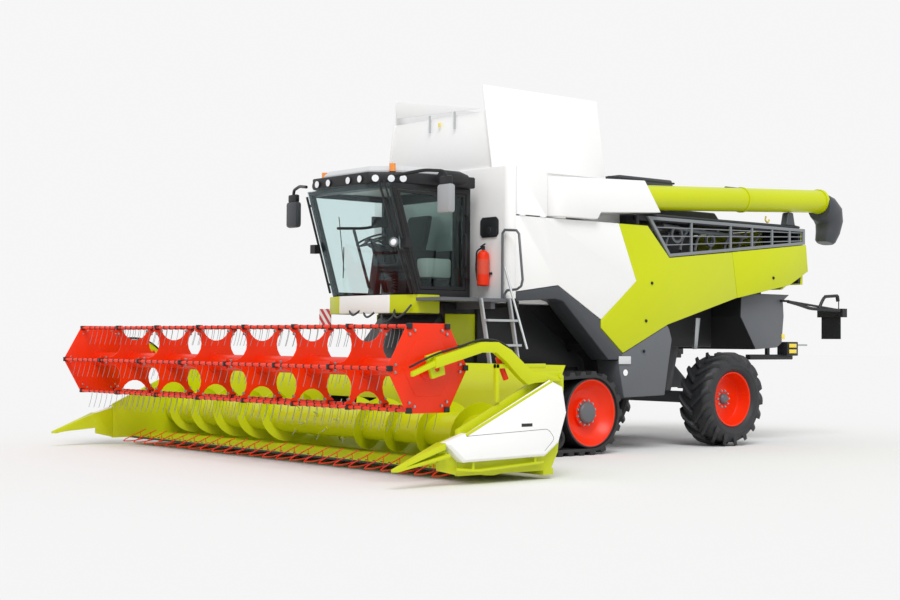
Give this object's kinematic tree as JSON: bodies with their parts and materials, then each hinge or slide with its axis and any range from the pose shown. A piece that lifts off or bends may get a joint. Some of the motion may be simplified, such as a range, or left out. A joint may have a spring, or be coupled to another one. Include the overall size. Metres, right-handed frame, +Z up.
{
  "type": "combine harvester",
  "caption": "Combine harvester on front rubber half-tracks, with a cutting table, a tined reel, a grain tank with raised covers and an unloading auger stowed along its side.",
  "frame": {"origin": "on the ground, midway between the divider tips and the rearmost lamps, on the centre line", "axes": "+X to the machine's left, -Y forwards, +Z up"},
  "size_m": [8.11, 11.24, 4.9803],
  "materials": {
    "track_rubber": "matt black rubber",
    "tyre_rubber": "matt black rubber",
    "black_rubber": "matt dark rubber",
    "red_paint": "glossy signal red",
    "lime_paint": "glossy yellow green",
    "white_paint": "glossy off white",
    "grey_paint": "satin mid grey",
    "dark_paint": "satin anthracite",
    "cast_grey": "rough grey casting",
    "bright_steel": "bare worn steel",
    "tinted_glass": "slightly green clear glass",
    "grey_plastic": "textured light grey moulding",
    "dark_plastic": "textured black moulding",
    "clear_lamp": "clear lamp lens",
    "seat_fabric": "woven dark upholstery"
  },
  "bodies": {
    "chassis": {"track_belts": "track_rubber", "track_wheels": "red_paint", "front_axle": "dark_paint", "rear_axle": "dark_paint", "rear_hitch": "dark_paint", "threshing_body": "dark_paint", "grain_tank": "white_paint", "front_wall": "white_paint", "tank_flaps": "white_paint", "arch_bands": "dark_paint", "tail_panels": "lime_paint", "side_grilles": "dark_paint", "side_frames": "dark_paint", "engine": "cast_grey", "engine_deck": "dark_paint", "chopper_housing": "dark_paint", "side_boxes": "grey_paint", "cab_shell": "dark_paint", "cab_glass": "tinted_glass", "cab_roof": "grey_plastic", "roof_fascia": "dark_plastic", "cab_rails": "dark_paint", "cab_apron": "white_paint", "front_lime_panels": "lime_paint", "warning_board": "white_paint", "seat": "seat_fabric", "console": "dark_plastic", "lamps": "clear_lamp", "mirrors": "dark_plastic", "platform": "dark_paint", "ladder": "grey_paint", "extinguisher": "red_paint", "lamp_arms": "dark_paint"},
    "feeder": {"feeder_house": "lime_paint", "table_frame": "lime_paint", "cutter_bar": "bright_steel", "crop_lifters": "red_paint", "table_shields": "white_paint", "crop_dividers": "lime_paint"},
    "intake_auger": {"table_auger": "lime_paint"},
    "reel_lift": {"reel_arms": "lime_paint"},
    "reel_slides": {"reel_carriers": "lime_paint"},
    "reel_rotor": {"reel": "red_paint"},
    "ram_tubes": {"ram_barrels": "dark_paint"},
    "ram_pistons": {"ram_rods": "bright_steel"},
    "stub_left": {"knuckle_left": "cast_grey"},
    "stub_right": {"knuckle_right": "cast_grey"},
    "wheel_left": {"rim_left": "red_paint", "tyre_left": "tyre_rubber"},
    "wheel_right": {"rim_right": "red_paint", "tyre_right": "tyre_rubber"},
    "unloader": {"elbow_cover": "white_paint", "auger_tube": "lime_paint", "auger_spout": "black_rubber"},
    "cab_access": {"cab_door": "dark_paint", "door_glass": "tinted_glass"},
    "flap_door_left": {"door_white_left": "white_paint", "door_lime_left": "lime_paint"},
    "flap_door_right": {"door_white_right": "white_paint", "door_lime_right": "lime_paint"}
  },
  "joints": [
    {"name": "feeder_lift", "type": "hinge", "parent": "chassis", "child": "feeder", "pos_m": [0, -2.13, 1.62], "axis": [-1, 0, 0], "range_deg": [0, 18]},
    {"name": "ram_turn", "type": "hinge", "parent": "chassis", "child": "ram_tubes", "pos_m": [0, -1.54, 0.605], "axis": [-1, 0, 0], "range_deg": [0, 10.66]},
    {"name": "ram_stroke", "type": "slide", "parent": "ram_tubes", "child": "ram_pistons", "axis": [0, -0.9956, -0.0941], "range_m": [0, 0.31897]},
    {"name": "intake_auger_spin", "type": "hinge", "parent": "feeder", "child": "intake_auger", "pos_m": [0, -3.65, 0.5], "axis": [1, 0, 0], "continuous": true},
    {"name": "reel_height", "type": "hinge", "parent": "feeder", "child": "reel_lift", "pos_m": [0, -3.29, 1.15], "axis": [-1, 0, 0], "range_deg": [-12, 25]},
    {"name": "reel_reach", "type": "slide", "parent": "reel_lift", "child": "reel_slides", "axis": [0, -0.9673, -0.2538], "range_m": [-0.3, 0.2]},
    {"name": "reel_spin", "type": "hinge", "parent": "reel_slides", "child": "reel_rotor", "pos_m": [0, -5, 1.245], "axis": [1, 0, 0], "continuous": true},
    {"name": "steer_left", "type": "hinge", "parent": "chassis", "child": "stub_left", "pos_m": [0.985, 2.61, 0.7], "axis": [0, 0, 1], "range_deg": [-38, 38]},
    {"name": "steer_right", "type": "hinge", "parent": "chassis", "child": "stub_right", "pos_m": [-0.985, 2.61, 0.7], "axis": [0, 0, 1], "range_deg": [-38, 38]},
    {"name": "wheel_left_spin", "type": "hinge", "parent": "stub_left", "child": "wheel_left", "pos_m": [1.35, 2.61, 0.7], "axis": [1, 0, 0], "continuous": true},
    {"name": "wheel_right_spin", "type": "hinge", "parent": "stub_right", "child": "wheel_right", "pos_m": [-1.35, 2.61, 0.7], "axis": [1, 0, 0], "continuous": true},
    {"name": "auger_swing", "type": "hinge", "parent": "chassis", "child": "unloader", "pos_m": [1.36, -0.87, 3.52], "axis": [0, 0, -1], "range_deg": [0, 100]},
    {"name": "cab_door_swing", "type": "hinge", "parent": "chassis", "child": "cab_access", "pos_m": [0.945, -2.074, 2.85], "axis": [0, 0, 1], "range_deg": [0, 70]},
    {"name": "door_left_lift", "type": "hinge", "parent": "chassis", "child": "flap_door_left", "pos_m": [1.504, -1.395, 3.2045], "axis": [0, -1, 0], "range_deg": [0, 60]},
    {"name": "door_right_lift", "type": "hinge", "parent": "chassis", "child": "flap_door_right", "pos_m": [-1.504, -1.395, 3.2045], "axis": [0, 1, 0], "range_deg": [0, 60]}
  ],
  "couplings": [
    {"joint": "ram_turn", "follows": "feeder_lift", "ratio": 0.59118},
    {"joint": "ram_stroke", "follows": "feeder_lift", "m_per_rad": 1.0137},
    {"joint": "steer_right", "follows": "steer_left", "ratio": 1}
  ]
}
